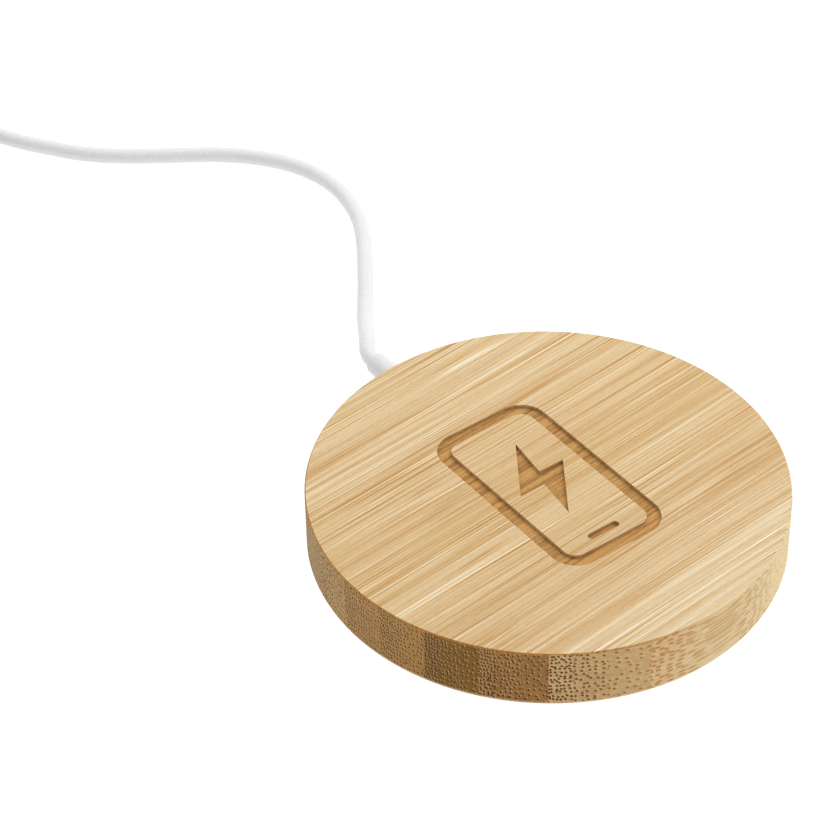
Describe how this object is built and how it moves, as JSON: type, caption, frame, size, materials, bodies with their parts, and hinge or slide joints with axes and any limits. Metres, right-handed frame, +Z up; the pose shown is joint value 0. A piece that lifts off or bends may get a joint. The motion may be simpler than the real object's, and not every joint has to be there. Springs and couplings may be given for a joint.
{
  "type": "wireless charging pad",
  "caption": "Small round magnetic phone charging pad with a turned bamboo case, engraved phone picture, thin white cord and a USB-C plug.",
  "frame": {"origin": "centre of the pad's footprint, on the surface it rests on", "axes": "+Z up through the phone face, +Y towards the cord's exit, bamboo fibres close to X"},
  "size_m": [0.0934, 0.1769, 0.0087],
  "materials": {
    "bamboo": "turned vertical-laminated bamboo, fine satin oil",
    "white_abs": "moulded ABS, fine spark texture",
    "adhesive": "acrylic bonding film",
    "silicone": "matte silicone",
    "zinc_steel": "zinc-plated steel",
    "nickel_magnet": "nickel-plated NdFeB",
    "yoke_steel": "cold-rolled steel, oiled",
    "litz_copper": "silk-served copper litz",
    "ferrite": "sintered ferrite, matte",
    "foam": "thin insulating foam",
    "epoxy_bead": "epoxy-dipped bead",
    "solder": "bright solder",
    "fr4_board": "green solder mask on FR4",
    "moulded_epoxy": "black moulding compound",
    "ceramic_chip": "fired ceramic",
    "core_red": "PVC insulation",
    "core_black": "PVC insulation",
    "core_green": "PVC insulation",
    "core_white": "PVC insulation",
    "white_tpe": "over-moulded soft TPE, matte",
    "cord_jacket": "extruded TPE jacket, matte",
    "tie_strap": "soft grey silicone strap",
    "plug_housing": "moulded ABS, fine matte",
    "plug_steel": "deep-drawn stainless steel",
    "black_lcp": "moulded LCP",
    "gold_contact": "gold-plated copper alloy"
  },
  "bodies": {
    "root": {"bamboo_shell": "bamboo", "base_plate": "white_abs", "bonding_ring": "adhesive", "anti_slip_ring": "silicone", "board_screws": "zinc_steel", "coil_film": "adhesive", "alignment_magnets": "nickel_magnet", "magnet_yoke": "yoke_steel", "charging_coil": "litz_copper", "ferrite_shield": "ferrite", "shield_foam": "foam", "thermistor": "epoxy_bead", "thermistor_solder": "solder", "circuit_board": "fr4_board", "controller_chip": "moulded_epoxy", "bridge_transistors": "moulded_epoxy", "resonant_capacitors": "ceramic_chip", "input_capacitors": "ceramic_chip", "buck_inductor": "ferrite", "chip_resistors": "moulded_epoxy", "coil_solder": "solder", "cord_solder": "solder", "wire_red": "core_red", "wire_black": "core_black", "wire_green": "core_green", "wire_white": "core_white", "strain_relief": "white_tpe", "cord_inner_end": "cord_jacket", "cord_lead": "cord_jacket", "cord_coil": "cord_jacket", "cord_tail": "cord_jacket", "cord_ties": "tie_strap", "cord_plug_end": "cord_jacket", "plug_boot": "white_tpe", "plug_grip": "plug_housing", "plug_shell": "plug_steel", "plug_carrier": "black_lcp", "plug_contacts": "gold_contact", "plug_latches": "plug_steel", "plug_board": "fr4_board"}
  },
  "joints": []
}
